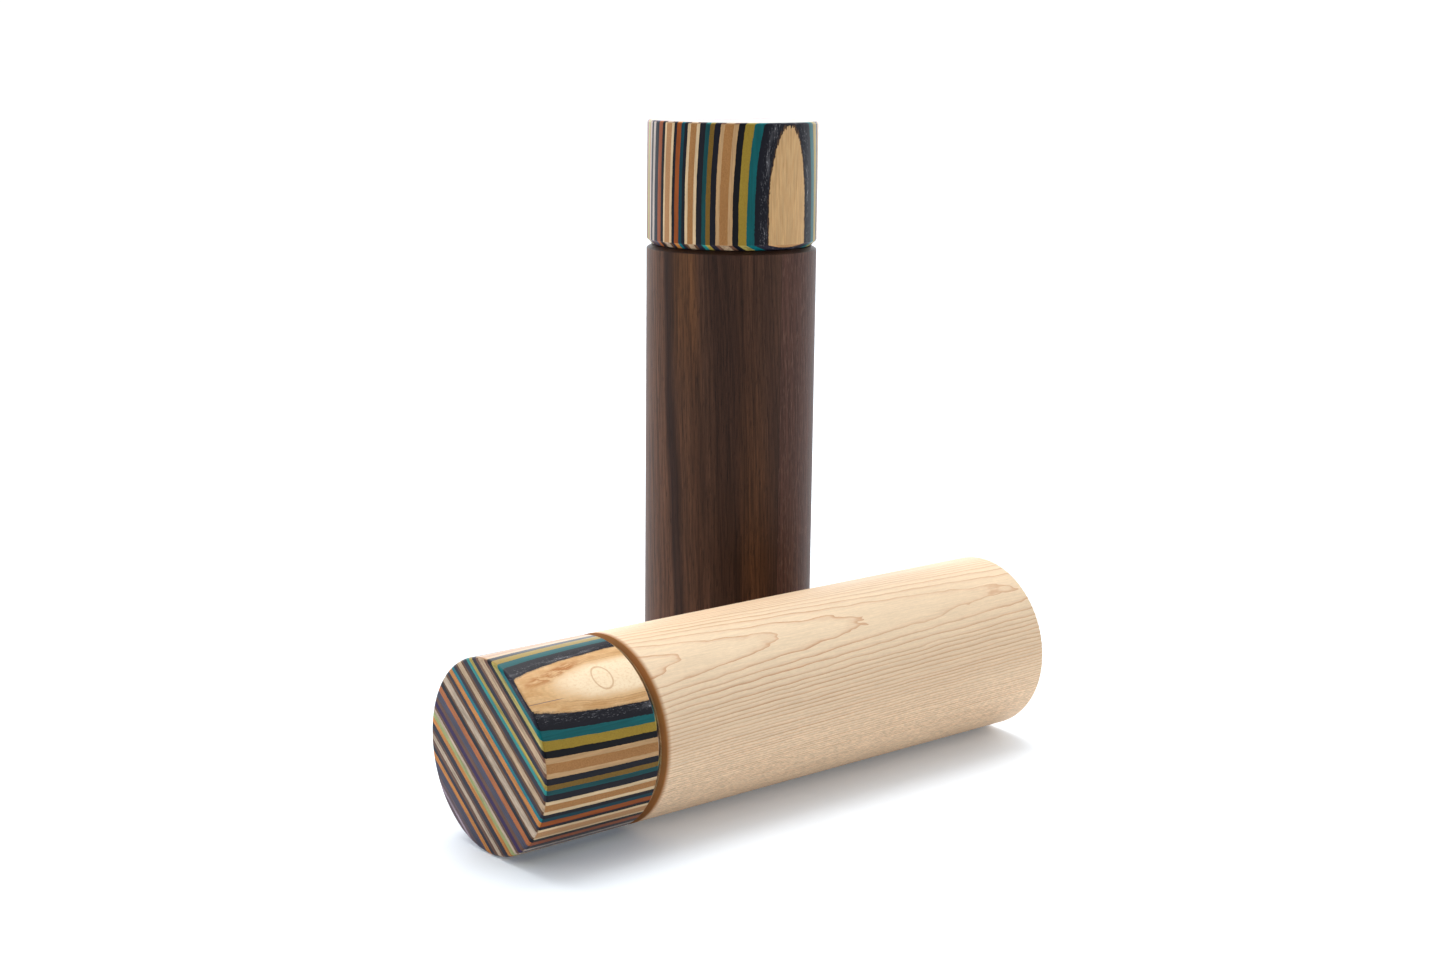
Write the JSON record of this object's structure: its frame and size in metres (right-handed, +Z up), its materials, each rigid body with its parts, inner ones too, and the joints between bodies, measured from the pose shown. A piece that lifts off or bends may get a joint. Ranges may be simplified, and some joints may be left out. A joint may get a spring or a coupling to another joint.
{
  "type": "salt and pepper mill pair",
  "caption": "Pair of cylindrical turned wooden spice mills with laminated coloured-ply turning caps and ceramic burrs; one walnut and standing, one maple and lying on its side.",
  "frame": {"origin": "on the resting surface, under the middle of the pair's bounding box", "axes": "+Z up, along the standing mill's axis; the lying mill's axis runs along X with its cap end towards -X; the lying mill is on the -Y side"},
  "size_m": [0.226, 0.141, 0.226],
  "materials": {
    "walnut_wood": "oiled satin, straight dark grain",
    "maple_wood": "oiled satin, pale with fine cathedral grain",
    "walnut_cap_plies": "satin lacquer over glued coloured maple plies",
    "maple_cap_plies": "satin lacquer over glued coloured maple plies",
    "black_plastic": "fine moulded texture",
    "grey_plastic": "moulded acetal",
    "white_nylon": "smooth nylon",
    "black_rubber": "smooth rubber",
    "aluminium": "drawn bar",
    "spring_steel": "bright spring steel",
    "ceramic": "smooth white technical ceramic"
  },
  "bodies": {
    "walnut_mill": {"walnut_body": "walnut_wood", "walnut_mechanism_housing": "black_plastic", "walnut_ring_burr": "ceramic", "walnut_bearing_bridge": "black_plastic", "walnut_base_cover": "black_plastic", "walnut_wheel_ring": "spring_steel", "walnut_glide_washer": "white_nylon"},
    "walnut_drive": {"walnut_drive_shaft": "aluminium", "walnut_drive_carrier": "grey_plastic", "walnut_drive_clip": "spring_steel"},
    "walnut_head": {"walnut_cap": "walnut_cap_plies", "walnut_head_bush": "black_plastic", "walnut_grip_ring": "black_rubber"},
    "walnut_cone": {"walnut_cone_burr": "ceramic", "walnut_cone_insert": "grey_plastic", "walnut_spring_washer": "spring_steel", "walnut_burr_spring": "spring_steel"},
    "walnut_adjuster": {"walnut_adjuster_wheel": "grey_plastic"},
    "walnut_lift": {"walnut_lift_screw": "spring_steel", "walnut_thrust_ball": "spring_steel"},
    "maple_mill": {"maple_body": "maple_wood", "maple_mechanism_housing": "black_plastic", "maple_ring_burr": "ceramic", "maple_bearing_bridge": "black_plastic", "maple_base_cover": "black_plastic", "maple_wheel_ring": "spring_steel", "maple_glide_washer": "white_nylon"},
    "maple_drive": {"maple_drive_shaft": "aluminium", "maple_drive_carrier": "grey_plastic", "maple_drive_clip": "spring_steel"},
    "maple_head": {"maple_cap": "maple_cap_plies", "maple_head_bush": "black_plastic", "maple_grip_ring": "black_rubber"},
    "maple_cone": {"maple_cone_burr": "ceramic", "maple_cone_insert": "grey_plastic", "maple_spring_washer": "spring_steel", "maple_burr_spring": "spring_steel"},
    "maple_adjuster": {"maple_adjuster_wheel": "grey_plastic"},
    "maple_lift": {"maple_lift_screw": "spring_steel", "maple_thrust_ball": "spring_steel"}
  },
  "joints": [
    {"name": "maple_stand_up", "type": "hinge", "parent": "walnut_mill", "child": "maple_mill", "pos_m": [0.113, -0.0385, 0], "axis": [0, 1, 0], "range_deg": [0, 90]},
    {"name": "walnut_turn", "type": "hinge", "parent": "walnut_mill", "child": "walnut_drive", "pos_m": [0.052, 0.0385, 0], "axis": [0, 0, 1], "continuous": true},
    {"name": "walnut_cap_lift", "type": "slide", "parent": "walnut_drive", "child": "walnut_head", "axis": [0, 0, 1], "range_m": [0, 0.05]},
    {"name": "walnut_adjust", "type": "hinge", "parent": "walnut_mill", "child": "walnut_adjuster", "pos_m": [0.052, 0.0385, 0], "axis": [0, 0, 1], "range_deg": [0, 240]},
    {"name": "walnut_screw_lift", "type": "slide", "parent": "walnut_mill", "child": "walnut_lift", "axis": [0, 0, 1], "range_m": [-0.0012, 0]},
    {"name": "walnut_burr_lift", "type": "slide", "parent": "walnut_drive", "child": "walnut_cone", "axis": [0, 0, 1], "range_m": [-0.0012, 0], "deforming": ["walnut_burr_spring"]},
    {"name": "maple_turn", "type": "hinge", "parent": "maple_mill", "child": "maple_drive", "pos_m": [0.113, -0.0385, 0.032], "axis": [-1, 0, 0], "continuous": true},
    {"name": "maple_cap_lift", "type": "slide", "parent": "maple_drive", "child": "maple_head", "axis": [-1, 0, 0], "range_m": [0, 0.05]},
    {"name": "maple_adjust", "type": "hinge", "parent": "maple_mill", "child": "maple_adjuster", "pos_m": [0.113, -0.0385, 0.032], "axis": [-1, 0, 0], "range_deg": [0, 240]},
    {"name": "maple_screw_lift", "type": "slide", "parent": "maple_mill", "child": "maple_lift", "axis": [-1, 0, 0], "range_m": [-0.0012, 0]},
    {"name": "maple_burr_lift", "type": "slide", "parent": "maple_drive", "child": "maple_cone", "axis": [-1, 0, 0], "range_m": [-0.0012, 0], "deforming": ["maple_burr_spring"]}
  ],
  "couplings": [
    {"joint": "walnut_screw_lift", "follows": "walnut_adjust", "m_per_rad": -0.000286},
    {"joint": "walnut_burr_lift", "follows": "walnut_adjust", "m_per_rad": -0.000286},
    {"joint": "maple_screw_lift", "follows": "maple_adjust", "m_per_rad": -0.000286},
    {"joint": "maple_burr_lift", "follows": "maple_adjust", "m_per_rad": -0.000286}
  ]
}
